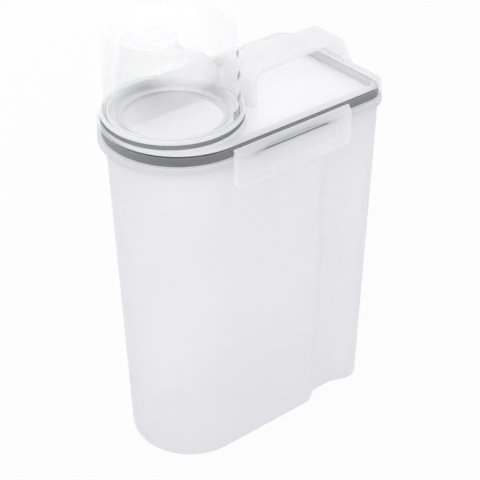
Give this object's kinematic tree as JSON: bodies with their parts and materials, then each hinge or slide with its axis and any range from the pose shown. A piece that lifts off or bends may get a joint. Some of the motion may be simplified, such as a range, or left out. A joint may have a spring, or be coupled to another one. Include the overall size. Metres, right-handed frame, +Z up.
{
  "type": "dry food container",
  "caption": "Tall dry-food container with a round front, lift-off sealed lid, side lock flaps, carry handle, pouring spout and upturned measuring cup.",
  "frame": {"origin": "On the surface the container stands on, under the middle of the container's length and width.", "axes": "X along the container with the spout and cup at -X, Y across it, Z up."},
  "size_m": [0.1774, 0.108, 0.2982],
  "materials": {
    "frosted_plastic": "pale frosted polypropylene",
    "clear_plastic": "clear polished moulded plastic",
    "translucent_plastic": "translucent moulded polypropylene",
    "gasket_rubber": "dark grey soft silicone",
    "seal_rubber": "grey soft silicone"
  },
  "bodies": {
    "container": {"container_body": "frosted_plastic"},
    "lid": {"lid_shell": "clear_plastic", "lid_gasket": "gasket_rubber", "pour_spout": "clear_plastic", "cup_seal": "seal_rubber", "carry_handle": "translucent_plastic"},
    "cup": {"measuring_cup": "clear_plastic"},
    "near_flap": {"near_lock_flap": "translucent_plastic"},
    "far_flap": {"far_lock_flap": "translucent_plastic"}
  },
  "joints": [
    {"name": "lid_lift", "type": "slide", "parent": "container", "child": "lid", "axis": [0, 0, 1], "range_m": [0, 0.24]},
    {"name": "cup_lift", "type": "slide", "parent": "lid", "child": "cup", "axis": [0, 0, 1], "range_m": [0, 0.12]},
    {"name": "near_flap_hinge", "type": "hinge", "parent": "lid", "child": "near_flap", "pos_m": [0, -0.0508, 0.2364], "axis": [-1, 0, 0], "range_deg": [0, 120]},
    {"name": "far_flap_hinge", "type": "hinge", "parent": "lid", "child": "far_flap", "pos_m": [0, 0.0508, 0.2364], "axis": [1, 0, 0], "range_deg": [0, 120]}
  ]
}
